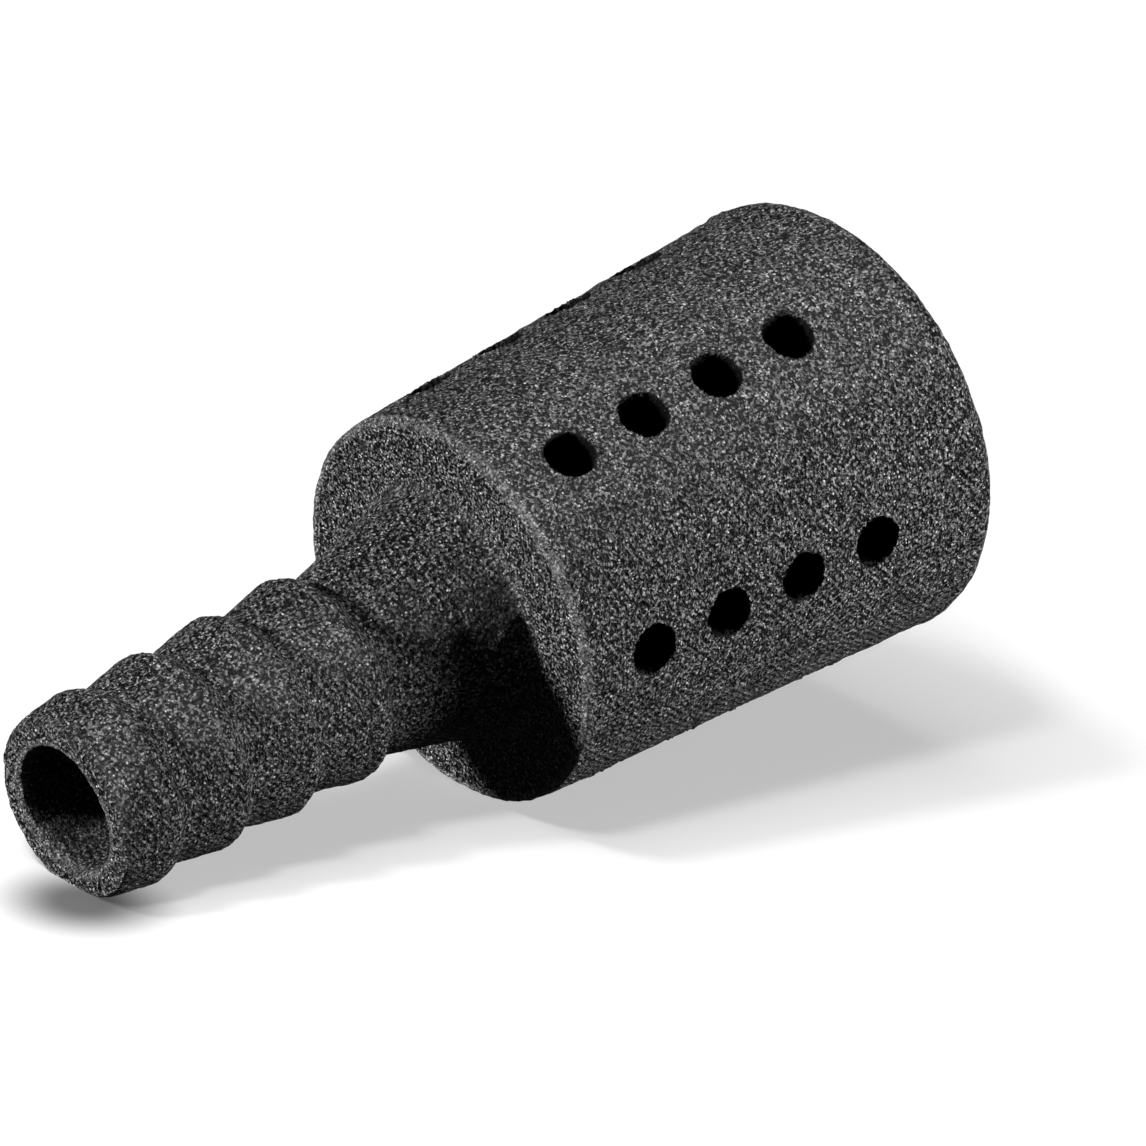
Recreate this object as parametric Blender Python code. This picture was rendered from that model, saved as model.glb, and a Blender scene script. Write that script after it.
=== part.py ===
"""Pneumatic muffler with a barbed hose tail.

A printed nylon housing carries four hose barbs, a flared neck and a slightly conical barrel with six
rows of vent holes. Inside lie an inlet screen, a ported core tube with its plug, a stack of felt rings
inside a vent screen, a pressure plate and a wave spring. The wide end is closed by an end cap, held by
a retaining ring.

Units are metres. The muffler's axis is +X, x = 0 is the mouth of the hose tail, and +Z is up.
"""

import math

import bmesh
import bpy
import numpy as np

# Housing, outside
TAIL_LENGTH = 0.01032
BARREL_LENGTH = 0.01124
SHOULDER_RADIUS = 0.00429
END_RADIUS = 0.00485
TIP_RADIUS = 0.00196
TIP_EDGE = 0.00012
BARBS = 4
FIRST_GROOVE = 0.00146
BARB_PITCH = 0.00175
BARB_PITCH_GROWTH = 0.00008
BARB_RADIUS = 0.002176
BARB_RADIUS_GROWTH = 0.000046
GROOVE_RADIUS = 0.00189
BARB_DROP = 0.00008
BARB_SOFTNESS = 0.00034
BARB_SAMPLES = 41
BARB_STEPS = (-2.5, -1.3, -0.82, -0.35, 0.12, 0.6, 1.2)
NECK_RADIUS = 0.0027
NECK_FILLET = 0.0002
SHOULDER_EDGE = 0.00012
RIM_ROUND = 0.00067

# Vent holes: rows round the barrel, holes along each row
VENT_ROWS = 6
VENTS_IN_ROW = 4
VENT_PITCH = 0.002
VENT_RADIUS = 0.00056
FIRST_VENT = 0.00178
FIRST_ROW_ANGLE = math.radians(30)

# Housing, inside
BORE_RADIUS = 0.00137
BORE_MOUTH = 0.00008
CHAMBER_RADIUS = 0.0033
SHOULDER_WALL = 0.00095
SEAT_RADIUS = 0.0019
SEAT_DEPTH = 0.0006
CAP_BORE_RADIUS = 0.0037
CAP_BORE_DEPTH = 0.00192
RING_GROOVE_RADIUS = 0.004
RING_GROOVE_WIDTH = 0.00052
RING_LIP = 0.00045
RIM_CHAMFER = 0.00012

# Inner pieces
GAP = 0.00012
FIT = 0.00006
SCREEN_THICKNESS = 0.00012
SCREEN_RINGS = 3
SCREEN_SECTORS = 12
CORE_WALL = 0.0004
CORE_PORT_RADIUS = 0.00036
CORE_PORTS_IN_ROW = 4
VENT_SCREEN_WALL = 0.0001
VENT_SCREEN_ROUND = 12
VENT_SCREEN_ALONG = 5
OPEN_SHARE = 0.55
FELT_RINGS = 6
FELT_THICKNESS = 0.001
PLATE_THICKNESS = 0.0003
SPRING_THICKNESS = 0.00012
SPRING_WIDTH = 0.0006
SPRING_WAVES = 3
SPRING_RISE = 0.0002
PLUG_LENGTH = 0.0012
PLUG_HEAD = 0.0002
CAP_THICKNESS = 0.0008
CAP_PULL_RADIUS = 0.0006
CAP_PULL_DEPTH = 0.0005
CAP_DISH_RADIUS = 0.0026
CAP_DISH_DEPTH = 0.00015
RING_THICKNESS = 0.0004
RING_WIDTH = 0.00045
RING_OPENING = math.radians(13)
RING_LUG_ANGLE = math.radians(16)
RING_LUG_BLEND = 0.3
RING_LUG_WIDTH = 0.0009
RING_EYE_RADIUS = 0.0002

# Places along X
SHOULDER_X = TAIL_LENGTH
END_X = TAIL_LENGTH + BARREL_LENGTH
CHAMBER_X = SHOULDER_X + SHOULDER_WALL
SEAT_X = CHAMBER_X - SEAT_DEPTH
CAP_BORE_X = END_X - CAP_BORE_DEPTH
GROOVE_END_X = END_X - RING_LIP
GROOVE_START_X = GROOVE_END_X - RING_GROOVE_WIDTH
CORE_X = SEAT_X + FIT + SCREEN_THICKNESS + GAP
CAP_X = CAP_BORE_X + GAP
PLUG_END_X = CAP_X - GAP
CORE_END_X = PLUG_END_X - PLUG_HEAD - FIT
FELT_X = CHAMBER_X + GAP
PLATE_X = FELT_X + FELT_RINGS * (FELT_THICKNESS + GAP)
CORE_RADIUS = BORE_RADIUS + CORE_WALL

# Facets
ROUND = 40
ROUND_INNER = 28
VENT_SIDES = 12
PORT_SIDES = 8
SMOOTH_ANGLE = math.radians(35)


def clear_scene():
    """Remove every object, so that the muffler stands alone in the scene."""
    for obj in list(bpy.data.objects):
        bpy.data.objects.remove(obj)


def principled(name, colour, roughness, metallic=0.0):
    """A Principled BSDF material with one colour, roughness and metallic value."""
    material = bpy.data.materials.new(name)
    material.use_nodes = True
    shader = material.node_tree.nodes["Principled BSDF"]
    shader.inputs["Base Color"].default_value = (*colour, 1)
    shader.inputs["Roughness"].default_value = roughness
    shader.inputs["Metallic"].default_value = metallic
    return material


def add_solid(name, points, faces, material=None):
    """An object from points and faces, with its faces turned outwards and its curves shaded smooth."""
    mesh = bpy.data.meshes.new(name)
    mesh.from_pydata([tuple(point) for point in points], [], [tuple(face) for face in faces])
    work = bmesh.new()
    work.from_mesh(mesh)
    bmesh.ops.recalc_face_normals(work, faces=work.faces)
    work.to_mesh(mesh)
    work.free()
    mesh.shade_smooth()
    mesh.set_sharp_from_angle(angle=SMOOTH_ANGLE)
    if material:
        mesh.materials.append(material)
    obj = bpy.data.objects.new(name, mesh)
    bpy.context.scene.collection.objects.link(obj)
    return obj


def lathe(name, outline, material=None, steps=ROUND):
    """A closed outline of (x, radius) turned about the X axis. A radius of 0 becomes one point on the axis."""
    angles = np.arange(steps) * 2 * math.pi / steps
    points, rings = [], []
    for x, radius in outline:
        turns = angles if radius > 0 else [0.0]
        rings.append(range(len(points), len(points) + len(turns)))
        points += [(x, radius * math.sin(a), radius * math.cos(a)) for a in turns]
    faces = []
    for low, high in zip(rings, rings[1:] + rings[:1]):
        for i in range(steps):
            j = (i + 1) % steps
            corners = [low[i % len(low)], low[j % len(low)], high[j % len(high)], high[i % len(high)]]
            corners = list(dict.fromkeys(corners))
            if len(corners) > 2:
                faces.append(corners)
    return add_solid(name, points, faces, material)


def tube(name, x0, x1, inner, outer, material, steps=ROUND_INNER):
    """A plain ring or tube between two places along X."""
    return lathe(name, [(x0, inner), (x0, outer), (x1, outer), (x1, inner)], material, steps)


def arc(x, radius, size, start, end, count):
    """Points of an arc in the (x, radius) plane about a centre, from one angle to another in degrees."""
    turns = np.radians(np.linspace(start, end, count))
    return [(x + size * math.cos(a), radius + size * math.sin(a)) for a in turns]


def lattice(name, filled, place, material):
    """A thin wall on a grid that closes round its first direction; cells that aren't filled are holes.

    place(i, j, side) is the point of grid line i round, grid line j across, on side 0 or 1 of the wall.
    """
    rounds, across = filled.shape
    points = [place(i, j, side) for side in (0, 1) for i in range(rounds) for j in range(across + 1)]

    def index(i, j, side):
        return side * rounds * (across + 1) + (i % rounds) * (across + 1) + j

    def solid(i, j):
        return 0 <= j < across and bool(filled[i % rounds, j])

    faces = []
    for i in range(rounds):
        for j in range(across):
            if not solid(i, j):
                continue
            for side in (0, 1):
                faces.append([index(i + a, j + b, side) for a, b in ((0, 0), (1, 0), (1, 1), (0, 1))])
            edges = (
                (solid(i - 1, j), (i, j), (i, j + 1)),
                (solid(i + 1, j), (i + 1, j), (i + 1, j + 1)),
                (solid(i, j - 1), (i, j), (i + 1, j)),
                (solid(i, j + 1), (i, j + 1), (i + 1, j + 1)),
            )
            for neighbour, low, high in edges:
                if not neighbour:
                    faces.append([index(*low, 0), index(*high, 0), index(*high, 1), index(*low, 1)])
    used = sorted({corner for face in faces for corner in face})
    renumber = {old: new for new, old in enumerate(used)}
    faces = [[renumber[corner] for corner in face] for face in faces]
    return add_solid(name, [points[corner] for corner in used], faces, material)


def radial_pins(name, places, angles, radius, inner, outer, sides):
    """Round pins that stand out from the X axis, at each place along it and each angle from +Z."""
    turns = np.arange(sides) * 2 * math.pi / sides
    points, faces = [], []
    for x in places:
        for angle in angles:
            out = np.array([0.0, math.sin(angle), math.cos(angle)])
            across = np.array([0.0, math.cos(angle), -math.sin(angle)])
            base = len(points)
            for reach in (inner, outer):
                for turn in turns:
                    along = np.array([x + radius * math.cos(turn), 0.0, 0.0])
                    points.append(along + out * reach + across * radius * math.sin(turn))
            ring = range(sides)
            faces += [[base + i, base + (i + 1) % sides, base + sides + (i + 1) % sides, base + sides + i]
                      for i in ring]
            faces.append([base + i for i in ring])
            faces.append([base + sides + i for i in ring])
    return add_solid(name, points, faces)


def axial_pins(name, centres, radius, x0, x1):
    """Round pins parallel to X at the given (y, z) centres."""
    turns = np.arange(PORT_SIDES) * 2 * math.pi / PORT_SIDES
    points, faces = [], []
    for y, z in centres:
        base = len(points)
        points += [(x, y + radius * math.cos(a), z + radius * math.sin(a)) for x in (x0, x1) for a in turns]
        ring = range(PORT_SIDES)
        faces += [[base + i, base + (i + 1) % PORT_SIDES, base + PORT_SIDES + (i + 1) % PORT_SIDES,
                   base + PORT_SIDES + i] for i in ring]
        faces.append([base + i for i in ring])
        faces.append([base + PORT_SIDES + i for i in ring])
    return add_solid(name, points, faces)


def cut(target, cutter):
    """Cut one object out of another and keep the cutter as a hidden guide."""
    cutter.hide_render = True
    cutter.display_type = "WIRE"
    modifier = target.modifiers.new("Cut " + cutter.name, "BOOLEAN")
    modifier.operation = "DIFFERENCE"
    modifier.solver = "EXACT"
    modifier.object = cutter


def groove_places():
    """Places along X of the foot of each groove behind a barb; the pitch grows by a constant step."""
    places, x = [], FIRST_GROOVE
    for i in range(BARBS):
        places.append(x)
        x += BARB_PITCH + i * BARB_PITCH_GROWTH
    return places


def tail_radius(x):
    """Outer radius of tail and neck: a sawtooth of straight ramps, softened by a cosine-shaped average."""
    knots, radii = [-BARB_PITCH, 0.0], [TIP_RADIUS, TIP_RADIUS]
    for i, groove in enumerate(groove_places()):
        knots += [groove - BARB_DROP, groove]
        radii += [BARB_RADIUS + i * BARB_RADIUS_GROWTH, GROOVE_RADIUS]
    knots.append(SHOULDER_X)
    radii.append(NECK_RADIUS)
    spread = np.linspace(-1, 1, BARB_SAMPLES)
    weight = 1 + np.cos(math.pi * spread)
    samples = np.interp(x + spread * BARB_SOFTNESS, knots, radii)
    return float((samples * weight).sum() / weight.sum())


def tail_places():
    """Places along X where the tail's outline has a point: close together at the peaks and grooves."""
    return [groove + step * BARB_SOFTNESS for groove in groove_places() for step in BARB_STEPS]


def housing_outline():
    """The housing's closed outline: up the outside from the mouth to the wide rim, and back inside."""
    flat_top = TIP_RADIUS - TIP_EDGE
    outline = [(0.0, BORE_RADIUS + BORE_MOUTH)]
    outline += arc(TIP_EDGE, flat_top, TIP_EDGE, 180, 90, 3)
    outline += [(x, tail_radius(x)) for x in tail_places()]
    neck_start = SHOULDER_X - NECK_FILLET
    outline += [(neck_start, tail_radius(neck_start))]
    outline += arc(neck_start, NECK_RADIUS + NECK_FILLET, NECK_FILLET, -60, 0, 2)
    edge_radius = SHOULDER_RADIUS - SHOULDER_EDGE
    outline += arc(SHOULDER_X + SHOULDER_EDGE, edge_radius, SHOULDER_EDGE, 180, 90, 3)
    outline += arc(END_X - RIM_ROUND, END_RADIUS - RIM_ROUND, RIM_ROUND, 87, 0, 7)
    outline += [
        (END_X, CAP_BORE_RADIUS + RIM_CHAMFER),
        (END_X - RIM_CHAMFER, CAP_BORE_RADIUS),
        (GROOVE_END_X, CAP_BORE_RADIUS),
        (GROOVE_END_X, RING_GROOVE_RADIUS),
        (GROOVE_START_X, RING_GROOVE_RADIUS),
        (GROOVE_START_X, CAP_BORE_RADIUS),
        (CAP_BORE_X, CAP_BORE_RADIUS),
        (CAP_BORE_X, CHAMBER_RADIUS),
        (CHAMBER_X, CHAMBER_RADIUS),
        (CHAMBER_X, SEAT_RADIUS),
        (SEAT_X, SEAT_RADIUS),
        (SEAT_X, BORE_RADIUS),
        (BORE_MOUTH, BORE_RADIUS),
    ]
    return outline


def make_housing(material):
    """The one-piece printed housing, with its vent holes drilled from outside into the chamber."""
    housing = lathe("housing", housing_outline(), material)
    places = [SHOULDER_X + FIRST_VENT + i * VENT_PITCH for i in range(VENTS_IN_ROW)]
    angles = [FIRST_ROW_ANGLE + i * 2 * math.pi / VENT_ROWS for i in range(VENT_ROWS)]
    inner, outer = CHAMBER_RADIUS - 2 * GAP, END_RADIUS + 2 * GAP
    cut(housing, radial_pins("vent_cutter", places, angles, VENT_RADIUS, inner, outer, VENT_SIDES))


def make_inlet_screen(material):
    """A round steel screen on the seat at the end of the bore, with rings of small openings."""
    inner, outer = 2 * FIT, SEAT_RADIUS - FIT
    ring = (outer - inner) / SCREEN_RINGS
    radii = [inner]
    for i in range(SCREEN_RINGS):
        middle = inner + (i + 0.5) * ring
        radii += [middle - ring * OPEN_SHARE / 2, middle + ring * OPEN_SHARE / 2]
    radii.append(outer)
    sector = 2 * math.pi / SCREEN_SECTORS
    angles = [i * sector + part * sector * OPEN_SHARE for i in range(SCREEN_SECTORS) for part in (0, 1)]
    filled = np.ones((len(angles), len(radii) - 1), bool)
    filled[::2, 1::2] = False

    def place(i, j, side):
        x = SEAT_X + FIT + side * SCREEN_THICKNESS
        return (x, radii[j] * math.sin(angles[i]), radii[j] * math.cos(angles[i]))

    lattice("inlet_screen", filled, place, material)


def make_core(tube_material, plug_material):
    """The ported core tube, whose far end is closed by a plug with a thin head."""
    core = tube("core_tube", CORE_X, CORE_END_X, BORE_RADIUS, CORE_RADIUS, tube_material)
    places = [SHOULDER_X + FIRST_VENT + i * VENT_PITCH for i in range(CORE_PORTS_IN_ROW)]
    angles = [i * 2 * math.pi / VENT_ROWS for i in range(VENT_ROWS)]
    inner, outer = BORE_RADIUS - 2 * GAP, CORE_RADIUS + GAP
    ports = radial_pins("port_cutter", places, angles, CORE_PORT_RADIUS, inner, outer, PORT_SIDES)
    cut(core, ports)
    spigot = BORE_RADIUS - FIT
    head_x = PLUG_END_X - PLUG_HEAD
    outline = [
        (head_x - PLUG_LENGTH, 0.0),
        (head_x - PLUG_LENGTH, spigot - GAP),
        (head_x - PLUG_LENGTH + GAP, spigot),
        (head_x, spigot),
        (head_x, CORE_RADIUS - FIT),
        (PLUG_END_X, CORE_RADIUS - FIT),
        (PLUG_END_X, 0.0),
    ]
    lathe("core_plug", outline, plug_material, ROUND_INNER)


def make_vent_screen(material):
    """A fine steel sleeve with openings all round, between the felt and the housing's vent holes."""
    x0, x1 = FELT_X, PLATE_X + PLATE_THICKNESS
    outer = CHAMBER_RADIUS - FIT
    length = (x1 - x0) / VENT_SCREEN_ALONG
    places = [x0]
    for i in range(VENT_SCREEN_ALONG):
        middle = x0 + (i + 0.5) * length
        places += [middle - length * OPEN_SHARE / 2, middle + length * OPEN_SHARE / 2]
    places.append(x1)
    step = 2 * math.pi / VENT_SCREEN_ROUND
    angles = [i * step + part * step * OPEN_SHARE for i in range(VENT_SCREEN_ROUND) for part in (0, 1)]
    filled = np.ones((len(angles), len(places) - 1), bool)
    filled[::2, 1::2] = False

    def place(i, j, side):
        radius = outer - side * VENT_SCREEN_WALL
        return (places[j], radius * math.sin(angles[i]), radius * math.cos(angles[i]))

    lattice("vent_screen", filled, place, material)


def make_felt_stack(felt, steel):
    """Felt rings side by side round the core tube, and the steel plate that presses on the last."""
    inner = CORE_RADIUS + GAP
    outer = CHAMBER_RADIUS - FIT - VENT_SCREEN_WALL - FIT
    for i in range(FELT_RINGS):
        x = FELT_X + i * (FELT_THICKNESS + GAP)
        tube(f"felt_ring_{i + 1}", x, x + FELT_THICKNESS, inner, outer, felt)
    tube("pressure_plate", PLATE_X, PLATE_X + PLATE_THICKNESS, inner, outer, steel)


def make_wave_spring(material):
    """A flat ring whose height follows a cosine with three waves round the circle."""
    low = PLATE_X + PLATE_THICKNESS + FIT
    high = CAP_X - FIT
    middle = (low + high) / 2
    outer = CHAMBER_RADIUS - 2 * GAP
    radii = (outer - SPRING_WIDTH, outer)
    points, faces = [], []
    for i in range(ROUND):
        angle = i * 2 * math.pi / ROUND
        x = middle + SPRING_RISE * math.cos(SPRING_WAVES * angle)
        section = [(x + a * SPRING_THICKNESS / 2, radii[b]) for a, b in ((-1, 0), (-1, 1), (1, 1), (1, 0))]
        points += [(px, radius * math.sin(angle), radius * math.cos(angle)) for px, radius in section]
        for k in range(4):
            here, then = 4 * i, 4 * ((i + 1) % ROUND)
            faces.append([here + k, here + (k + 1) % 4, then + (k + 1) % 4, then + k])
    add_solid("wave_spring", points, faces, material)


def make_end_cap(material):
    """The end cap: a disc with bevelled edges, a dished face and a blind hole to pull it out by."""
    x0, x1 = CAP_X, CAP_X + CAP_THICKNESS
    outer = CAP_BORE_RADIUS - FIT
    outline = [
        (x0, 0.0),
        (x0, outer - GAP),
        (x0 + GAP, outer),
        (x1 - FIT, outer),
        (x1, outer - FIT),
        (x1, CAP_DISH_RADIUS),
        (x1 - CAP_DISH_DEPTH, CAP_DISH_RADIUS - CAP_DISH_DEPTH),
        (x1 - CAP_DISH_DEPTH, CAP_PULL_RADIUS),
        (x1 - CAP_PULL_DEPTH, CAP_PULL_RADIUS),
        (x1 - CAP_PULL_DEPTH, 0.0),
    ]
    lathe("end_cap", outline, material)


def make_retaining_ring(material):
    """An internal snap ring: a flat open ring with a wider lug and a round eye at each end."""
    x0 = (GROOVE_START_X + GROOVE_END_X - RING_THICKNESS) / 2
    outer = RING_GROOVE_RADIUS - GAP
    turns = np.linspace(RING_OPENING, 2 * math.pi - RING_OPENING, ROUND + 5)
    from_end = np.minimum(turns, 2 * math.pi - turns) - RING_OPENING
    share = np.clip(1 + RING_LUG_BLEND - from_end / RING_LUG_ANGLE, 0, 1)
    widths = RING_WIDTH + (RING_LUG_WIDTH - RING_WIDTH) * share
    points, faces = [], []
    for turn, width in zip(turns, widths):
        for x, radius in ((x0, outer - width), (x0, outer), (x0 + RING_THICKNESS, outer),
                          (x0 + RING_THICKNESS, outer - width)):
            points.append((x, radius * math.sin(turn), radius * math.cos(turn)))
    last = 4 * (len(turns) - 1)
    for here in range(0, last, 4):
        faces += [[here + k, here + (k + 1) % 4, here + 4 + (k + 1) % 4, here + 4 + k] for k in range(4)]
    faces += [[0, 1, 2, 3], [last, last + 1, last + 2, last + 3]]
    ring = add_solid("retaining_ring", points, faces, material)
    eye_radius = outer - RING_LUG_WIDTH / 2
    eye_turn = RING_OPENING + (RING_LUG_WIDTH / 2) / eye_radius
    eyes = [(eye_radius * math.sin(turn), eye_radius * math.cos(turn)) for turn in (eye_turn, -eye_turn)]
    cut(ring, axial_pins("eye_cutter", eyes, RING_EYE_RADIUS, x0 - GAP, x0 + RING_THICKNESS + GAP))


def main():
    clear_scene()
    nylon = principled("black_sintered_nylon", (0.028, 0.028, 0.03), 0.85)
    cap_nylon = principled("cap_nylon", (0.032, 0.032, 0.034), 0.8)
    felt = principled("charcoal_felt", (0.05, 0.05, 0.05), 0.95)
    steel = principled("stainless_steel", (0.6, 0.6, 0.6), 0.35, 1.0)
    mesh_steel = principled("steel_mesh", (0.25, 0.25, 0.25), 0.45, 1.0)
    spring_steel = principled("spring_steel", (0.3, 0.3, 0.31), 0.4, 1.0)
    aluminium = principled("core_aluminium", (0.75, 0.76, 0.77), 0.4, 1.0)
    make_housing(nylon)
    make_inlet_screen(mesh_steel)
    make_core(aluminium, cap_nylon)
    make_vent_screen(mesh_steel)
    make_felt_stack(felt, steel)
    make_wave_spring(spring_steel)
    make_end_cap(cap_nylon)
    make_retaining_ring(spring_steel)


main()
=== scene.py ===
"""Looks of a pneumatic muffler with a barbed hose tail, built round its CAD model. Units are metres."""

import math

import bpy
import numpy as np
from mathutils import Matrix, Vector


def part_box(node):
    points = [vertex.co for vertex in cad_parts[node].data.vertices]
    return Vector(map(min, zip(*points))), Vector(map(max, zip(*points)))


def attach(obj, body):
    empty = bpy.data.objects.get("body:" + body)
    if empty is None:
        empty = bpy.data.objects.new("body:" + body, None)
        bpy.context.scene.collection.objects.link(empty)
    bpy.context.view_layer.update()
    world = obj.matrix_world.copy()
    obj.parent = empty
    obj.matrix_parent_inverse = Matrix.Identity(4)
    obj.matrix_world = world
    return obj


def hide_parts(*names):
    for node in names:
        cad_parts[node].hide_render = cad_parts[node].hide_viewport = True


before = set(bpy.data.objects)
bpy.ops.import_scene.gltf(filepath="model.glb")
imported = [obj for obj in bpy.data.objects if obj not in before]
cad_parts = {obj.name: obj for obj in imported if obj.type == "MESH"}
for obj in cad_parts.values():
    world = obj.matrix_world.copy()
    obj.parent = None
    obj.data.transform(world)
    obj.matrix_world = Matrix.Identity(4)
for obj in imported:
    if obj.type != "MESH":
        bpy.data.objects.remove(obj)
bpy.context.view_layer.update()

# ---------------------------------------------------------------- driving sizes
HOUSING_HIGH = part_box("housing")[1]
END_X = HOUSING_HIGH.x
END_RADIUS = HOUSING_HIGH.z
SHOULDER_X = 0.01032
SHOULDER_RADIUS = 0.00429
TIP_RADIUS = 0.00196
TIP_EDGE = 0.00016
BARBS = 4
FIRST_GROOVE = 0.00146
BARB_PITCH = 0.00175
BARB_PITCH_GROWTH = 0.00008
BARB_RADIUS = 0.002176
BARB_RADIUS_GROWTH = 0.000046
GROOVE_RADIUS = 0.00189
BARB_DROP = 0.00008
BARB_SOFTNESS = 0.00034
NECK_RADIUS = 0.0027
NECK_FILLET = 0.0002
SHOULDER_EDGE = 0.00012
RIM_ROUND = 0.00067
BORE_RADIUS = 0.00137
BORE_MOUTH = 0.00012
CHAMBER_RADIUS = 0.0033
SHOULDER_WALL = 0.00095
SEAT_RADIUS = 0.0019
SEAT_DEPTH = 0.0006
CAP_BORE_RADIUS = 0.0037
CAP_BORE_DEPTH = 0.00192
RING_GROOVE_RADIUS = 0.004
RING_GROOVE_WIDTH = 0.00052
RING_LIP = 0.00045
RIM_CHAMFER = 0.00012
CAP_BEVEL = 0.00012
CAP_EDGE = 0.00006
CAP_DISH_RADIUS = 0.0026
CAP_DISH = 0.00015
CAP_PULL_RADIUS = 0.0006
CAP_PULL_DEPTH = 0.0005
CAP_STEP = 0.0001
CAP_ROUND = 180

FELT_RINGS = 6
VENT_ROWS = 6
VENTS_IN_ROW = 4
VENT_PITCH = 0.002
VENT_RADIUS = 0.00056
FIRST_VENT = 0.00178
FIRST_ROW_ANGLE = math.radians(30)

# Places along X
CHAMBER_X = SHOULDER_X + SHOULDER_WALL
SEAT_X = CHAMBER_X - SEAT_DEPTH
CAP_BORE_X = END_X - CAP_BORE_DEPTH
RING_GROOVE = (END_X - RING_LIP - RING_GROOVE_WIDTH, END_X - RING_LIP)
FIRST_VENT_X = SHOULDER_X + FIRST_VENT
VENT_ZONE = (FIRST_VENT_X - VENT_PITCH / 2, FIRST_VENT_X + (VENTS_IN_ROW - 0.5) * VENT_PITCH)

# Mesh steps: a vent cell, the strips between cells outside and inside, and the rings round and down a vent
VENT_CELL = 18
STRIP_STEPS = 24
STRIP_INSIDE = 3
CELL_HALF_ANGLE = math.radians(12.6)
TAIL_STEPS = 96
BORE_STEPS = 40
SOFT_SAMPLES = 41
EDGE_STEP = 0.00008
PATCH_RINGS = (0.25, 0.5, 0.72, 0.88, 0.97, 1.0)
WALL_RINGS = (0.05, 0.12, 0.22, 0.34, 0.5, 0.72, 1.0)

# Roughness of the printed skin: (grain size, height, seed) of each layer of noise, and single points
ROUGHNESS = ((0.0006, 0.000012, 1), (0.00025, 0.000016, 2), (0.00013, 0.000014, 3))
NOISE_TABLE = 64
JITTER_SEED = 7
JITTER = 0.000007
VENT_JITTER = 0.000022
EDGE_HIGHLIGHT = {0: 0.22, 2: 0.06, 4: 0.1, 6: 0.3}  # painted highlight on these parts of the outer outline: mouth, tip, neck, shoulder
BORE_SHADE = 0.45
MOUTH_SHADE = 0.75
CAP_ROUGHNESS = 0.4

# Studio. A lamp is (name, azimuth, elevation, distance, size, power), with its angles in degrees.
FLOOR_BACK_SLOPE = 0.15
FLOOR_REACH = 0.6
FLOOR_STEPS = (20, 111, 13)  # beyond the bend on each side, along the bend, across
FLOOR_BEND = (-0.03, 0.08)
FLOOR_START = (-0.009, 0.0)
FLOOR_END = (0.034, 0.06)
FLOOR_GAP = 0.00003
SURROUND = 0.03
OBJECT_LIGHTS = (("tail_key", -115, 27, 0.6, 0.1, 8.8), ("side_key", 50, 11, 0.07, 0.03, 0.104))
FLOOR_LIGHTS = (("overhead", -90, 84, 0.6, 0.5, 2.6), ("left_lamp", -117, 72, 0.6, 0.09, 1.6),
                ("right_lamp", -58, 66, 0.6, 0.09, 1.5))
FLOOR_GLOW = 0.5
TIP_SHADOW = (-0.00035, -0.0008, 0.0)
TIP_SHADOW_SIZE = (0.0004, 0.0022)
TIP_SHADOW_LIGHT = 0.15
FLOOR_CLOUD = 0.02
FLOOR_TONES = ((0.42, 0.42, 0.42), (0.44, 0.44, 0.44))
BACKDROP_RADIUS = 1.5
BACKDROP_RINGS = 26
BACKDROP_ROUND = 48
BACKDROP_CLOUD = 0.5

# ---------------------------------------------------------------- camera
VIEW_AIM = Vector((0.01267, -0.00129, 0.00037))
VIEW_AZIMUTH = math.radians(-39.81)
VIEW_ELEVATION = math.radians(30.11)
VIEW_ROLL = math.radians(-4.75)
VIEW_DISTANCE = 0.2061
SENSOR = 36.0
IMAGE_SIDE = 1146
FOCAL_LENGTH = SENSOR * 10000 / IMAGE_SIDE


def direction(azimuth, elevation):
    """Unit vector from the object towards a place; azimuth 0 is -Y and a quarter turn is +X."""
    return Vector((math.sin(azimuth) * math.cos(elevation), -math.cos(azimuth) * math.cos(elevation),
                   math.sin(elevation)))


def make_camera():
    """A long lens that looks at the aim point from the front left, above, rolled a little."""
    data = bpy.data.cameras.new("camera")
    data.lens = FOCAL_LENGTH
    data.sensor_width = SENSOR
    data.clip_start = 0.01
    data.clip_end = 10
    camera = bpy.data.objects.new("camera", data)
    bpy.context.scene.collection.objects.link(camera)
    back = direction(VIEW_AZIMUTH, VIEW_ELEVATION)
    camera.location = VIEW_AIM + back * VIEW_DISTANCE
    level = (-back).to_track_quat("-Z", "Y").to_matrix()
    camera.rotation_euler = (level @ Matrix.Rotation(VIEW_ROLL, 3, "Z")).to_euler()
    bpy.context.scene.camera = camera


make_camera()


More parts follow.
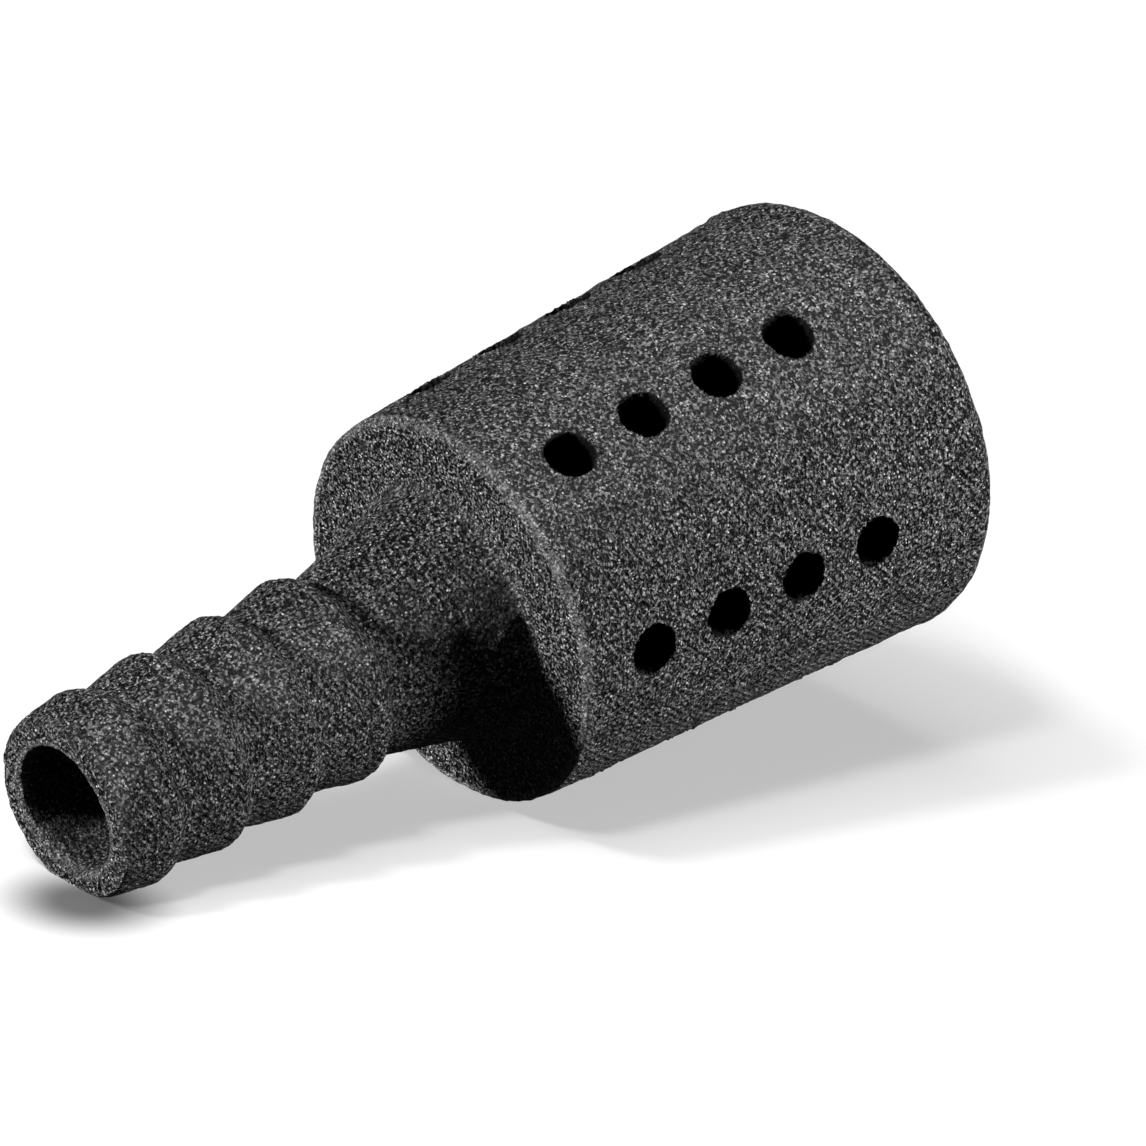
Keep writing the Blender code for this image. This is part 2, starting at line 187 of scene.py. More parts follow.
# ---------------------------------------------------------------- node helpers
class Nodes:
    """A short way to add and link shader nodes in one material."""

    def __init__(self, name):
        self.material = bpy.data.materials.new(name)
        self.material.use_nodes = True
        self.tree = self.material.node_tree
        self.shader = self.tree.nodes["Principled BSDF"]

    def add(self, kind, inputs=(), **settings):
        node = self.tree.nodes.new(kind)
        for key, value in settings.items():
            setattr(node, key, value)
        for key, value in dict(inputs).items():
            if hasattr(value, "is_output"):
                self.tree.links.new(value, node.inputs[key])
            else:
                node.inputs[key].default_value = value
        return node

    def math(self, operation, a, b=0.0, c=0.0):
        node = self.add("ShaderNodeMath", operation=operation)
        for socket, value in zip(node.inputs, (a, b, c)):
            if hasattr(value, "is_output"):
                self.tree.links.new(value, socket)
            else:
                socket.default_value = value
        return node.outputs[0]

    def ramp(self, value, low, high, to_low=0.0, to_high=1.0):
        """Smooth step of a value from one range to another."""
        node = self.add("ShaderNodeMapRange", {"Value": value, "From Min": low, "From Max": high,
                                               "To Min": to_low, "To Max": to_high},
                        interpolation_type="SMOOTHSTEP")
        return node.outputs[0]

    def mix(self, share, low, high):
        """Colour between two colours."""
        node = self.add("ShaderNodeMix", {"Factor": share}, data_type="RGBA")
        for index, value in ((6, low), (7, high)):  # the two colour sockets
            if hasattr(value, "is_output"):
                self.tree.links.new(value, node.inputs[index])
            else:
                node.inputs[index].default_value = (*value, 1)
        return node.outputs[2]

    def place(self):
        return self.add("ShaderNodeTexCoord").outputs["Object"]

    def noise(self, vector, size, detail=2.0, roughness=0.5):
        """Noise whose features are about the given size in metres."""
        return self.add("ShaderNodeTexNoise", {"Vector": vector, "Scale": 1 / size, "Detail": detail,
                                               "Roughness": roughness}).outputs["Fac"]

    def cells(self, vector, size, channel="Red"):
        """Distance to the nearest of many random points, which are about the given size apart in metres,
        and a random value of that point."""
        cell = self.add("ShaderNodeTexVoronoi", {"Vector": vector, "Scale": 1 / size}, feature="F1").outputs
        chance = self.add("ShaderNodeSeparateColor", {"Color": cell["Color"]}).outputs[channel]
        return cell["Distance"], chance

    def vector(self, operation, first, second):
        return self.add("ShaderNodeVectorMath", {0: first, 1: second}, operation=operation).outputs

    def attribute(self, name):
        return self.add("ShaderNodeAttribute", attribute_name=name).outputs["Fac"]

    def bump(self, height, distance):
        return self.add("ShaderNodeBump", {"Height": height, "Distance": distance}).outputs["Normal"]

    def set(self, **inputs):
        for key, value in inputs.items():
            name = key.replace("_", " ")
            if hasattr(value, "is_output"):
                self.tree.links.new(value, self.shader.inputs[name])
            elif isinstance(value, tuple):
                self.shader.inputs[name].default_value = (*value, 1)
            else:
                self.shader.inputs[name].default_value = value
        return self.material


# ---------------------------------------------------------------- materials
GRAIN = 0.000044
GRAIN_HEIGHT = 0.00023
PIT_SPACING = 0.00026
LAYER = 0.00014
LAYER_DIRECTION = (0.715, -0.394, 0.577)
LAYER_WANDER = 0.0006
LAYER_BEND = 0.35
SCRATCH = 0.0001
STAIN = 0.0012
FIBRE = 0.00009
CLUMP = 0.0007
BLACK = (0.0, 0.0, 0.0)
WHITE = (1.0, 1.0, 1.0)
# colour of the painted shade in crevices and pores
CREVICE_SHADE_BLACK = (0.0008, 0.0008, 0.0008)
GRAIN_TOP = (0.6, 0.6, 0.605)
# pale loose grains, which also serve as painted glints
LOOSE_GRAIN_AND_GLINT = (0.8, 0.8, 0.8)
# colour of the painted edge highlight
PAINTED_EDGE_HIGHLIGHT = (0.85, 0.85, 0.85)


def sintered_nylon(name):
    """Black sintered nylon. Grain tops are pale by chance, and the colour runs to black in the pores and
    crevices between them where the relief is low, which is painted shade; over them lie a few pale loose
    grains, which also serve as painted glints, round pits painted black as painted shade, painted highlights
    on edges and faint steps of the build layers, and the "shade" attribute paints shade into the insides."""
    n = Nodes(name)
    where = n.place()
    grains, _ = n.cells(where, GRAIN * 1.6)
    fine = n.noise(where, GRAIN, 3.0, 0.7)
    broad = n.noise(where, GRAIN * 4)
    patches = n.noise(where, GRAIN * 12)
    along = n.vector("DOT_PRODUCT", where, LAYER_DIRECTION)["Value"]
    wander = n.math("MULTIPLY", n.noise(where, LAYER_WANDER, 1.0), LAYER_BEND * LAYER)
    steps = n.math("SINE", n.math("MULTIPLY", n.math("ADD", along, wander), 2 * math.pi / LAYER))
    pores = n.ramp(n.noise(where, GRAIN * 1.7, 1.0), 0.4, 0.5)
    height = n.math("MULTIPLY_ADD", grains, -0.55, n.math("MULTIPLY", fine, 1.2))
    height = n.math("MULTIPLY_ADD", pores, 0.4, height)
    pit_distance, pit_chance = n.cells(where, PIT_SPACING, "Green")
    pits = n.math("MULTIPLY", n.ramp(pit_chance, 0.35, 0.45), n.ramp(pit_distance, 0.3, 0.2))
    relief = n.math("MULTIPLY_ADD", broad, 0.8, height)
    relief = n.math("MULTIPLY_ADD", steps, 0.18, relief)
    relief = n.math("MULTIPLY_ADD", pits, -1.0, relief)
    distance, chance = n.cells(where, GRAIN * 1.15)
    paleness = n.math("MULTIPLY_ADD", n.math("POWER", chance, 1.3), 0.92, 0.08)
    # painted shade: the colour goes black in crevices and pores, where the relief is low
    depth = n.math("MULTIPLY", n.ramp(height, 0.45, 0.95), n.math("MULTIPLY_ADD", pores, 0.85, 0.15))
    colour = n.mix(n.math("MULTIPLY", depth, paleness), CREVICE_SHADE_BLACK, GRAIN_TOP)
    # pale loose grains, partly real grains and partly painted glints
    loose = n.math("MULTIPLY", n.ramp(chance, 0.93, 0.96), n.ramp(distance, 0.5, 0.35))
    colour = n.mix(loose, colour, LOOSE_GRAIN_AND_GLINT)
    # painted shade: the pits are painted black
    colour = n.mix(n.math("MULTIPLY", pits, 0.9), colour, BLACK)
    # painted highlight on the edges that the "edge" attribute marks, broken up by noise
    highlight_break = n.ramp(n.math("ADD", fine, n.math("MULTIPLY", broad, 0.5)), 0.5, 1.0)
    colour = n.mix(n.math("MULTIPLY", n.attribute("edge"), highlight_break), colour, PAINTED_EDGE_HIGHLIGHT)
    colour = n.mix(n.attribute("shade"), colour, BLACK)
    return n.set(Base_Color=colour, Roughness=n.ramp(patches, 0.3, 0.7, 0.44, 0.58), Specular_IOR_Level=0.18,
                 Normal=n.bump(relief, GRAIN_HEIGHT))


def brushed(name, colour, roughness, grain=(0.00004, 0.00004, 0.0006)):
    """Drawn or rolled metal: long fine scratches, of the given size along each axis, in the base colour,
    the roughness and the bump, and soft stains."""
    n = Nodes(name)
    where = n.place()
    long_way = n.vector("MULTIPLY", where, tuple(SCRATCH / size for size in grain))["Vector"]
    scratches = n.noise(long_way, SCRATCH, 4.0, 0.6)
    stains = n.noise(where, STAIN, 3.0, 0.6)
    dark = tuple(0.7 * part for part in colour)
    tone = n.math("MULTIPLY_ADD", scratches, 0.6, n.math("MULTIPLY", stains, 0.4))
    return n.set(Base_Color=n.mix(n.ramp(tone, 0.3, 0.7), dark, colour), Metallic=1.0,
                 Roughness=n.ramp(scratches, 0.3, 0.7, roughness - 0.08, roughness + 0.1),
                 Normal=n.bump(scratches, 0.000012))


def felt(name):
    """Pressed charcoal felt: crossed fibres made of two stretched noises over soft clumps."""
    n = Nodes(name)
    where = n.place()
    fibres = []
    for stretch in ((0.25, 1.0, 2.2), (0.25, 2.2, 1.0)):
        fibres.append(n.noise(n.vector("MULTIPLY", where, stretch)["Vector"], FIBRE, 3.0, 0.7))
    crossed = n.math("MAXIMUM", *fibres)
    clumps = n.noise(where, CLUMP)
    tone = n.math("MULTIPLY_ADD", clumps, 0.35, crossed)
    return n.set(Base_Color=n.mix(n.ramp(tone, 0.55, 0.95), (0.02, 0.02, 0.021), (0.11, 0.11, 0.112)),
                 Roughness=n.ramp(crossed, 0.3, 0.8, 1.0, 0.85), Normal=n.bump(tone, 0.00008))


NYLON = sintered_nylon("black_sintered_nylon")
CAP_NYLON = sintered_nylon("cap_nylon")
MESH_STEEL = brushed("dark_mesh_steel", (0.25, 0.25, 0.25), 0.4)
CORE_ALUMINIUM = brushed("drawn_aluminium", (0.75, 0.76, 0.77), 0.35, (0.0008, 0.00004, 0.00004))
STAINLESS_STEEL = brushed("stamped_steel", (0.55, 0.55, 0.55), 0.35)
SPRING_STEEL = brushed("blued_spring_steel", (0.16, 0.17, 0.2), 0.35)
RING_STEEL = brushed("phosphated_ring_steel", (0.09, 0.09, 0.1), 0.5)
FELT = felt("charcoal_felt")


# ---------------------------------------------------------------- shapes
def groove_places():
    """The foot of each groove behind a barb; the pitch grows by a constant step."""
    steps = BARB_PITCH + BARB_PITCH_GROWTH * np.arange(BARBS - 1)
    return FIRST_GROOVE + np.concatenate([[0], np.cumsum(steps)])


def tail_radius(x):
    """Outer radius of tail and neck: a sawtooth of straight ramps, softened by a cosine-shaped average."""
    knots, radii = [-BARB_PITCH, 0.0], [TIP_RADIUS, TIP_RADIUS]
    for i, groove in enumerate(groove_places()):
        knots += [groove - BARB_DROP, groove]
        radii += [BARB_RADIUS + i * BARB_RADIUS_GROWTH, GROOVE_RADIUS]
    knots.append(SHOULDER_X)
    radii.append(NECK_RADIUS)
    spread = np.linspace(-1, 1, SOFT_SAMPLES)
    weight = 1 + np.cos(math.pi * spread)
    samples = np.interp(np.asarray(x)[:, None] + spread * BARB_SOFTNESS, knots, radii)
    return samples @ weight / weight.sum()


def barrel_radius(x):
    """Outer radius of the barrel, which widens evenly from the shoulder to the wide end."""
    share = (np.asarray(x) - SHOULDER_X) / (END_X - SHOULDER_X)
    return SHOULDER_RADIUS + (END_RADIUS - SHOULDER_RADIUS) * share


def arc(x, radius, size, start, end, count):
    """Points of an arc in the (x, radius) plane about a centre, from one angle to another in degrees."""
    turns = np.radians(np.linspace(start, end, count))
    return np.stack([x + size * np.cos(turns), radius + size * np.sin(turns)], 1)


def line(start, end, steps):
    """Evenly spaced points of a straight line, from its start up to but without its end."""
    share = np.arange(steps)[:, None] / steps
    return np.array(start) * (1 - share) + np.array(end) * share


def along_barrel(start, end, steps):
    """Points of the barrel's outer line, from its start up to but without its end."""
    x = start + (end - start) * np.arange(steps) / steps
    return np.stack([x, barrel_radius(x)], 1)


def outer_outline():
    """(x, radius) points from the mouth up the outside, over the rim and down to the cap's seat, the index of
    the first point of the vent zone, and how strong the painted edge highlight is at each point."""
    tail_x = np.linspace(TIP_EDGE, SHOULDER_X - NECK_FILLET, TAIL_STEPS)[1:]
    neck = tail_radius(tail_x[-1:])[0]
    start, end = VENT_ZONE
    parts = [
        arc(BORE_MOUTH, BORE_RADIUS + BORE_MOUTH, BORE_MOUTH, 260, 180, 4),
        line((0, BORE_RADIUS + BORE_MOUTH + EDGE_STEP), (0, TIP_RADIUS - TIP_EDGE), 4),
        arc(TIP_EDGE, TIP_RADIUS - TIP_EDGE, TIP_EDGE, 180, 90, 5),
        np.stack([tail_x, tail_radius(tail_x)], 1),
        arc(SHOULDER_X - NECK_FILLET, neck + NECK_FILLET, NECK_FILLET, -70, 0, 4),
        line((SHOULDER_X, neck + NECK_FILLET + EDGE_STEP), (SHOULDER_X, SHOULDER_RADIUS - SHOULDER_EDGE), 13),
        arc(SHOULDER_X + SHOULDER_EDGE, SHOULDER_RADIUS - SHOULDER_EDGE, SHOULDER_EDGE, 180, 93, 5),
        along_barrel(SHOULDER_X + SHOULDER_EDGE + EDGE_STEP, start, 6),
        along_barrel(start, end, VENTS_IN_ROW * VENT_CELL),
        along_barrel(end, END_X - RIM_ROUND, 10),
        arc(END_X - RIM_ROUND, END_RADIUS - RIM_ROUND, RIM_ROUND, 87, 0, 11),
        line((END_X, END_RADIUS - RIM_ROUND - EDGE_STEP), (END_X, CAP_BORE_RADIUS + RIM_CHAMFER), 4),
        line((END_X, CAP_BORE_RADIUS + RIM_CHAMFER), (END_X - RIM_CHAMFER, CAP_BORE_RADIUS), 2),
        line((END_X - RIM_CHAMFER, CAP_BORE_RADIUS), (RING_GROOVE[1], CAP_BORE_RADIUS), 3),
        line((RING_GROOVE[1], CAP_BORE_RADIUS), (RING_GROOVE[1], RING_GROOVE_RADIUS), 3),
        line((RING_GROOVE[1], RING_GROOVE_RADIUS), (RING_GROOVE[0], RING_GROOVE_RADIUS), 3),
        line((RING_GROOVE[0], RING_GROOVE_RADIUS), (RING_GROOVE[0], CAP_BORE_RADIUS), 3),
        line((RING_GROOVE[0], CAP_BORE_RADIUS), (CAP_BORE_X, CAP_BORE_RADIUS), 3),
        np.array([(CAP_BORE_X, CAP_BORE_RADIUS)]),
    ]
    edge_light = np.concatenate([np.full(len(part), EDGE_HIGHLIGHT.get(i, 0.0)) for i, part in enumerate(parts)])
    return np.concatenate(parts), sum(len(part) for part in parts[:8]), edge_light


def inner_outline():
    """(x, radius) points from the cap's seat down the chamber and the bore to the mouth, and the index of
    the first point of the vent zone, which is read from the wide end."""
    start, end = VENT_ZONE
    first_cell = CHAMBER_X + EDGE_STEP
    parts = [
        np.array([(CAP_BORE_X, CHAMBER_RADIUS)]),
        line((end, CHAMBER_RADIUS), (start + VENT_PITCH, CHAMBER_RADIUS), (VENTS_IN_ROW - 1) * VENT_CELL),
        line((start + VENT_PITCH, CHAMBER_RADIUS), (first_cell, CHAMBER_RADIUS), VENT_CELL),
        np.array([(first_cell, CHAMBER_RADIUS), (CHAMBER_X, CHAMBER_RADIUS), (CHAMBER_X, SEAT_RADIUS),
                  (SEAT_X, SEAT_RADIUS)]),
        line((SEAT_X, BORE_RADIUS), (BORE_MOUTH, BORE_RADIUS), BORE_STEPS),
    ]
    return np.concatenate(parts), 1


def around(strip):
    """Angles round the axis: for each row of vents a cell of even steps, then a strip up to the next row."""
    row = 2 * math.pi / VENT_ROWS
    cell = np.linspace(-CELL_HALF_ANGLE, CELL_HALF_ANGLE, VENT_CELL, endpoint=False)
    between = np.linspace(CELL_HALF_ANGLE, row - CELL_HALF_ANGLE, strip, endpoint=False)
    one = np.concatenate([cell, between])
    return (FIRST_ROW_ANGLE + row * np.arange(VENT_ROWS)[:, None] + one).ravel()


def turned(x, radius, angle):
    """Points at a distance from the axis and an angle measured from +Z towards +Y."""
    x, radius, angle = np.broadcast_arrays(x, radius, angle)
    return np.stack([x, radius * np.sin(angle), radius * np.cos(angle)], -1)


class Shell:
    """Collects vertices and faces of one closed mesh as whole arrays."""

    def __init__(self):
        self.points, self.faces, self.count = [], [], 0

    def add_points(self, points):
        """Adds an array of points and returns their numbers in the same layout."""
        numbers = self.count + np.arange(points[..., 0].size).reshape(points.shape[:-1])
        self.points.append(points.reshape(-1, 3))
        self.count += points[..., 0].size
        return numbers

    def add_faces(self, *corners):
        """Adds one face for each entry of the corner arrays."""
        self.faces.append(np.stack([c.ravel() for c in corners], 1))

    def mesh(self, name, points=None, **layers):
        """The mesh of the vertices that its faces use, with each layer as an attribute of its points."""
        points = np.concatenate(self.points) if points is None else points
        used, places = np.unique(np.concatenate([f.ravel() for f in self.faces]), return_inverse=True)
        sizes = np.concatenate([np.full(len(f), f.shape[1]) for f in self.faces])
        mesh = bpy.data.meshes.new(name)
        mesh.vertices.add(len(used))
        mesh.vertices.foreach_set("co", points[used].astype(np.float32).ravel())
        mesh.loops.add(len(places))
        mesh.loops.foreach_set("vertex_index", places.astype(np.int32))
        mesh.polygons.add(len(sizes))
        mesh.polygons.foreach_set("loop_start", np.concatenate([[0], np.cumsum(sizes)[:-1]]).astype(np.int32))
        mesh.polygons.foreach_set("use_smooth", np.ones(len(sizes), bool))
        mesh.update(calc_edges=True)
        mesh.validate()
        for title, values in layers.items():
            layer = mesh.attributes.new(title, "FLOAT", "POINT")
            layer.data.foreach_set("value", values[used].astype(np.float32))
        return mesh


def add_piece(name, mesh, material, slot, *nodes):
    """Puts a finished mesh in the scene on the one body, in the place of its CAD nodes."""
    piece = bpy.data.objects.new(name, mesh)
    bpy.context.scene.collection.objects.link(piece)
    mesh.materials.append(material)
    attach(piece, "root")
    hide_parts(*nodes)
    bpy.data.collections["muffler"].objects.link(piece)


def value_noise(points, size, seed):
    """Smooth noise of three channels between -1 and 1: random values on a cubic lattice of the given
    pitch, blended between its corners by smoothsteps."""
    random = np.random.default_rng(seed).uniform(-1, 1, (NOISE_TABLE,) * 3 + (3,))
    where = points / size
    low = np.floor(where).astype(int)
    share = where - low
    share = share * share * (3 - 2 * share)
    total = np.zeros_like(points)
    for corner in np.ndindex(2, 2, 2):
        weight = np.prod(np.where(corner, share, 1 - share), axis=1)
        cell = (low + corner) % NOISE_TABLE
        total += weight[:, None] * random[cell[:, 0], cell[:, 1], cell[:, 2]]
    return total


def roughened(points, layers, share=1.0):
    """The points moved by each layer of noise, whose height is scaled by a share."""
    for size, height, seed in layers:
        points = points + share * height * value_noise(points, size, seed)
    return points


def on_surface(flat, radius, angle):
    """Points on a round surface from (x, sideways) places in the plane that touches it at an angle."""
    out = np.array([0, math.sin(angle), math.cos(angle)])
    height = np.sqrt(radius ** 2 - flat[..., 1] ** 2)
    return flat[..., :1] * [1, 0, 0] + flat[..., 1:] * sideways(angle) + height[..., None] * out


def sideways(angle):
    """Unit vector round the axis at an angle."""
    return np.array([0, math.cos(angle), -math.sin(angle)])


def cell_loop(row, column, grid, backwards):
    """Numbers round the edge of one vent cell, anticlockwise from outside, from its lowest corner."""
    i = row + np.arange(VENT_CELL + 1)
    j = (column + np.arange(VENT_CELL + 1)) % grid.shape[1]
    low, high = (i[::-1], i) if backwards else (i, i[::-1])
    near, far = (i[-1], i[0]) if backwards else (i[0], i[-1])
    return np.concatenate([grid[low[:-1], j[0]], grid[far, j[:-1]], grid[high[:-1], j[-1]],
                           grid[near, j[:0:-1]]])


def grid_faces(shell, grid, vent_row, strip):
    """Quads of a lathe grid, which is closed round the axis, without those inside the vent cells."""
    rows, columns = grid.shape
    keep = np.ones((rows - 1, columns), bool)
    cells = (np.arange(columns) % (VENT_CELL + strip)) < VENT_CELL
    keep[vent_row:vent_row + VENTS_IN_ROW * VENT_CELL, cells] = False
    after = np.roll(grid, -1, axis=1)
    shell.add_faces(grid[:-1][keep], grid[1:][keep], after[1:][keep], after[:-1][keep])


def join_sheets(shell, outside, inside):
    """Faces that join the two sheets at the cap's seat and at the mouth. Inside, a strip has fewer steps."""
    rows = np.arange(VENT_ROWS)[:, None]
    step = STRIP_STEPS // STRIP_INSIDE
    out_start, in_start = rows * (VENT_CELL + STRIP_STEPS), rows * (VENT_CELL + STRIP_INSIDE)
    fine = (out_start + VENT_CELL + step * np.arange(STRIP_INSIDE)).ravel()
    coarse = (in_start + VENT_CELL + np.arange(STRIP_INSIDE)).ravel()
    fine_cell = (out_start + np.arange(VENT_CELL)).ravel()
    coarse_cell = (in_start + np.arange(VENT_CELL)).ravel()
    for a, b, turn in ((outside[-1], inside[0], 1), (outside[0], inside[-1], -1)):
        next_a, next_b = np.roll(a, -1), np.roll(b, -1)
        quad = [a[fine_cell], b[coarse_cell], next_b[coarse_cell], next_a[fine_cell]]
        spread = [a[(fine + k) % len(a)] for k in range(step, -1, -1)]
        shell.add_faces(*quad[::turn])
        shell.add_faces(*[b[coarse], next_b[coarse], *spread][::turn])


def add_vent(shell, points, x, angle, edge, back):
    """One vent: rings from its outer cell to the hole, down the wall, and out to the inner cell. Returns
    how dark and how ragged each new point is."""
    flat_edge = np.stack([points[edge, 0], points[edge] @ sideways(angle)], 1)
    flat_back = np.stack([points[back, 0], points[back] @ sideways(angle)], 1)
    turn = np.arctan2(flat_edge[:, 1], flat_edge[:, 0] - x)
    hole = np.stack([x + VENT_RADIUS * np.cos(turn), VENT_RADIUS * np.sin(turn)], 1)
    share = np.array(PATCH_RINGS)[:, None, None]
    flat = flat_edge * (1 - share) + hole * share
    rings = on_surface(flat, barrel_radius(flat[..., 0]), angle)
    depth = np.array(WALL_RINGS)[:, None, None]
    wall = rings[-1] * (1 - depth) + on_surface(hole, CHAMBER_RADIUS, angle) * depth
    under = on_surface(0.5 * (hole + flat_back), CHAMBER_RADIUS, angle)
    loops = [edge, *shell.add_points(np.concatenate([rings, wall, under[None]])), back]
    for first, second in zip(loops[:-1], loops[1:]):
        shell.add_faces(first, np.roll(first, -1), np.roll(second, -1), second)
    dark = np.concatenate([np.zeros(len(rings) - 1), [MOUTH_SHADE], np.ones(len(wall) + 1)])
    ragged = np.concatenate([np.zeros(len(rings) - 2), [0.6, 1], np.ones(len(wall)), [0]])
    return np.repeat(dark, len(edge)), np.repeat(ragged, len(edge))


def make_housing():
    """The housing as one closed shell. An outline is turned round the axis, and each vent is a round hole
    in a square cell: rings of points go from the cell's edge to the hole, straight down its wall to the
    chamber and out to the matching cell inside. Seeded noise then roughens every face."""
    shell = Shell()
    outer, outer_zone, edge_light = outer_outline()
    inner, inner_zone = inner_outline()
    out_angle, in_angle = around(STRIP_STEPS), around(STRIP_INSIDE)
    outside = shell.add_points(turned(outer[:, :1], outer[:, 1:], out_angle))
    inside = shell.add_points(turned(inner[:, :1], inner[:, 1:], in_angle))
    grid_faces(shell, outside, outer_zone, STRIP_STEPS)
    grid_faces(shell, inside, inner_zone, STRIP_INSIDE)
    join_sheets(shell, outside, inside)

    points = np.concatenate(shell.points)
    inner_shade = np.where(inner[:, 0] > BORE_MOUTH + EDGE_STEP, BORE_SHADE, 0.0)
    shade = [np.zeros(outside.size), np.repeat(inner_shade, len(in_angle))]
    ragged = [np.zeros(len(points))]
    for vent, row in np.ndindex(VENTS_IN_ROW, VENT_ROWS):
        angle = FIRST_ROW_ANGLE + row * 2 * math.pi / VENT_ROWS
        edge = cell_loop(outer_zone + vent * VENT_CELL, row * (VENT_CELL + STRIP_STEPS), outside, False)
        back = cell_loop(inner_zone + (VENTS_IN_ROW - 1 - vent) * VENT_CELL,
                         row * (VENT_CELL + STRIP_INSIDE), inside, True)
        dark, loose = add_vent(shell, points, FIRST_VENT_X + vent * VENT_PITCH, angle, edge, back)
        shade.append(dark)
        ragged.append(loose)

    points = roughened(np.concatenate(shell.points), ROUGHNESS)
    reach = JITTER + VENT_JITTER * np.concatenate(ragged)[:, None]
    points += np.random.default_rng(JITTER_SEED).uniform(-1, 1, points.shape) * reach
    # painted edge highlight, kept in the "edge" attribute
    edge_highlight = np.zeros(len(points))
    edge_highlight[:outside.size] = np.repeat(edge_light, len(out_angle))
    return shell.mesh("housing_shell", points, shade=np.concatenate(shade), edge=edge_highlight)


def lathe_points(outline, step):
    """The outline's corners joined by evenly spaced points no further apart than one step."""
    parts = []
    for start, end in zip(outline[:-1], outline[1:]):
        parts.append(line(start, end, max(1, math.ceil(math.dist(start, end) / step))))
    return np.concatenate([*parts, [outline[-1]]])


def make_end_cap():
    """The end cap: an outline from the axis round to the axis again, turned about X, with its two centre
    points closed by fans. It has a bevelled edge, a dished face and a blind hole to pull it out by."""
    low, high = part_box("end_cap")
    x0, x1, outer = low.x, high.x, high.z
    dish, half = x1 - CAP_DISH, CAP_EDGE / 2
    outline = lathe_points([
        (x0, 0),
        (x0, outer - CAP_BEVEL),
        (x0 + CAP_BEVEL, outer),
        (x1 - CAP_EDGE, outer),
        (x1, outer - CAP_EDGE),
        (x1, CAP_DISH_RADIUS),
        (dish, CAP_DISH_RADIUS - CAP_DISH),
        (dish, CAP_PULL_RADIUS + half),
        (dish - half, CAP_PULL_RADIUS),
        (x1 - CAP_PULL_DEPTH, CAP_PULL_RADIUS),
        (x1 - CAP_PULL_DEPTH, 0),
    ], CAP_STEP)
    angle = np.arange(CAP_ROUND) * 2 * math.pi / CAP_ROUND
    shell = Shell()
    grid = shell.add_points(turned(outline[1:-1, :1], outline[1:-1, 1:], angle))
    ends = shell.add_points(turned(outline[[0, -1], :1], 0.0, 0.0)[:, 0])
    after = np.roll(grid, -1, axis=1)
    shell.add_faces(grid[:-1], grid[1:], after[1:], after[:-1])
    shell.add_faces(np.full(CAP_ROUND, ends[0]), grid[0], after[0])
    shell.add_faces(grid[-1], np.full(CAP_ROUND, ends[1]), after[-1])
    return shell.mesh("end_cap_disc", roughened(np.concatenate(shell.points), ROUGHNESS[1:], CAP_ROUGHNESS))


def make_backdrop():
    """A pale sphere round the whole studio, seen by the camera only."""
    turns = np.arange(BACKDROP_ROUND) * 2 * math.pi / BACKDROP_ROUND
    tilt = np.linspace(0, math.pi, BACKDROP_RINGS)[1:-1, None]
    shell = Shell()
    grid = shell.add_points(BACKDROP_RADIUS * np.stack(np.broadcast_arrays(
        np.sin(tilt) * np.cos(turns), np.sin(tilt) * np.sin(turns), np.cos(tilt)), -1))
    ends = shell.add_points(np.array([(0, 0, BACKDROP_RADIUS), (0, 0, -BACKDROP_RADIUS)]))
    after = np.roll(grid, -1, axis=1)
    shell.add_faces(grid[:-1], after[:-1], after[1:], grid[1:])
    shell.add_faces(np.full(BACKDROP_ROUND, ends[0]), after[0], grid[0])
    shell.add_faces(grid[-1], after[-1], np.full(BACKDROP_ROUND, ends[1]))
    backdrop = bpy.data.objects.new("backdrop", shell.mesh("backdrop"))
    bpy.context.scene.collection.objects.link(backdrop)
    n = Nodes("white_backdrop")
    cloud = n.mix(n.noise(n.place(), BACKDROP_CLOUD, 1.0), BLACK, (0.01, 0.01, 0.01))
    backdrop.data.materials.append(n.set(Base_Color=cloud, Roughness=1.0, Emission_Color=WHITE,
                                         Emission_Strength=1.0))
    for ray in ("diffuse", "glossy", "transmission", "shadow", "volume_scatter"):
        setattr(backdrop, "visible_" + ray, False)


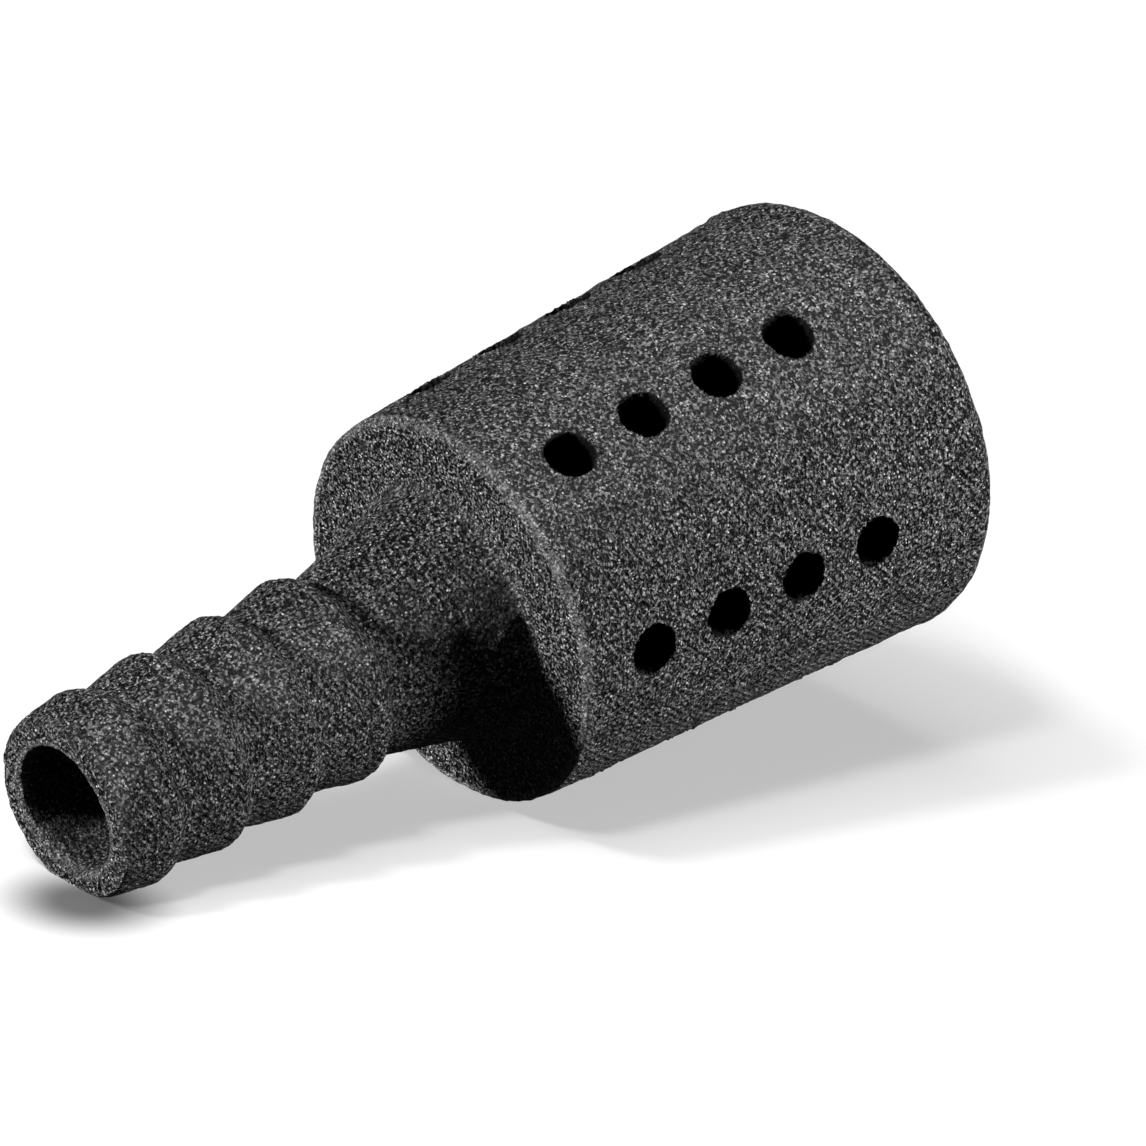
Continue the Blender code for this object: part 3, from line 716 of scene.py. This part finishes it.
def make_floor():
    """A pale sheet under the object: it slopes down under the muffler, which lies on its first barb and
    the edge of its shoulder, then bends level. Its height is the running sum of a smooth slope."""
    near, far = FLOOR_BEND
    beyond, along, across = FLOOR_STEPS
    x = np.unique(np.concatenate([np.linspace(-FLOOR_REACH, near, beyond), np.linspace(near, far, along),
                                  np.linspace(far, FLOOR_REACH + 0.1, beyond)]))
    barb_x = groove_places()[0] - BARB_DROP
    slope = (SHOULDER_RADIUS - tail_radius(np.array([barb_x]))[0]) / (SHOULDER_X - barb_x)

    def smooth(start, end):
        share = np.clip((x - start) / (end - start), 0, 1)
        return share * share * (3 - 2 * share)

    begin, end = smooth(*FLOOR_START), smooth(*FLOOR_END)
    fall = FLOOR_BACK_SLOPE * (1 - begin) - slope * begin * (1 - end)
    height = np.concatenate([[0], np.cumsum(np.diff(x) * (fall[1:] + fall[:-1]) / 2)])
    height += -SHOULDER_RADIUS - np.interp(SHOULDER_X, x, height)
    y = np.linspace(-FLOOR_REACH, FLOOR_REACH, across)
    points = np.stack(np.broadcast_arrays(x[:, None], y, height[:, None] - FLOOR_GAP), -1)
    shell = Shell()
    grid = shell.add_points(points)
    shell.add_faces(grid[:-1, :-1], grid[1:, :-1], grid[1:, 1:], grid[:-1, 1:])
    floor = bpy.data.objects.new("floor", shell.mesh("floor"))
    bpy.context.scene.collection.objects.link(floor)
    n = Nodes("pale_floor")
    where = n.place()
    tone = n.mix(n.noise(where, FLOOR_CLOUD), *FLOOR_TONES)
    level = n.vector("MULTIPLY", where, (1.0, 1.0, 0.0))["Vector"]
    reach = n.vector("DISTANCE", level, TIP_SHADOW)["Value"]
    light = n.ramp(reach, *TIP_SHADOW_SIZE, TIP_SHADOW_LIGHT, 1.0)
    floor.data.materials.append(n.set(Base_Color=n.mix(light, BLACK, tone), Roughness=0.9,
                                      Emission_Color=WHITE,
                                      Emission_Strength=n.math("MULTIPLY", light, FLOOR_GLOW)))
    floor.visible_diffuse = False
    floor.visible_glossy = False
    bpy.data.collections["studio_floor"].objects.link(floor)


def make_lights():
    """Soft studio light. A key beyond the tail and a close lamp at the side light the muffler; a wide box
    overhead and two lamps light the floor, and each set is linked to its own collection."""
    world = bpy.data.worlds.new("studio")
    world.use_nodes = True
    world.node_tree.nodes["Background"].inputs["Color"].default_value = (1, 1, 1, 1)
    world.node_tree.nodes["Background"].inputs["Strength"].default_value = SURROUND
    bpy.context.scene.world = world
    for lights, receiver in ((OBJECT_LIGHTS, "muffler"), (FLOOR_LIGHTS, "studio_floor")):
        for name, azimuth, elevation, distance, size, energy in lights:
            data = bpy.data.lights.new(name, "AREA")
            data.shape = "DISK"
            data.size = size
            data.energy = energy
            light = bpy.data.objects.new(name, data)
            bpy.context.scene.collection.objects.link(light)
            away = direction(math.radians(azimuth), math.radians(elevation))
            light.location = VIEW_AIM + away * distance
            light.rotation_euler = away.to_track_quat("Z", "Y").to_euler()
            light.visible_camera = False
            light.light_linking.receiver_collection = bpy.data.collections[receiver]


for name in ("muffler", "studio_floor"):
    bpy.data.collections.new(name)
make_floor()
make_backdrop()
make_lights()
add_piece("housing_shell", make_housing(), NYLON, "sintered_nylon", "housing")
add_piece("end_cap_disc", make_end_cap(), CAP_NYLON, "cap_nylon", "end_cap")

CARRIED = {
    "inlet_screen": MESH_STEEL,
    "vent_screen": MESH_STEEL,
    "core_tube": CORE_ALUMINIUM,
    "core_plug": CAP_NYLON,
    "pressure_plate": STAINLESS_STEEL,
    "wave_spring": SPRING_STEEL,
    "retaining_ring": RING_STEEL,
    **{f"felt_ring_{i + 1}": FELT for i in range(FELT_RINGS)},
}
for name, material in CARRIED.items():
    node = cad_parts[name]
    node.data.materials.clear()
    node.data.materials.append(material)
    bpy.data.collections["muffler"].objects.link(node)

bpy.context.scene.view_settings.view_transform = "Standard"
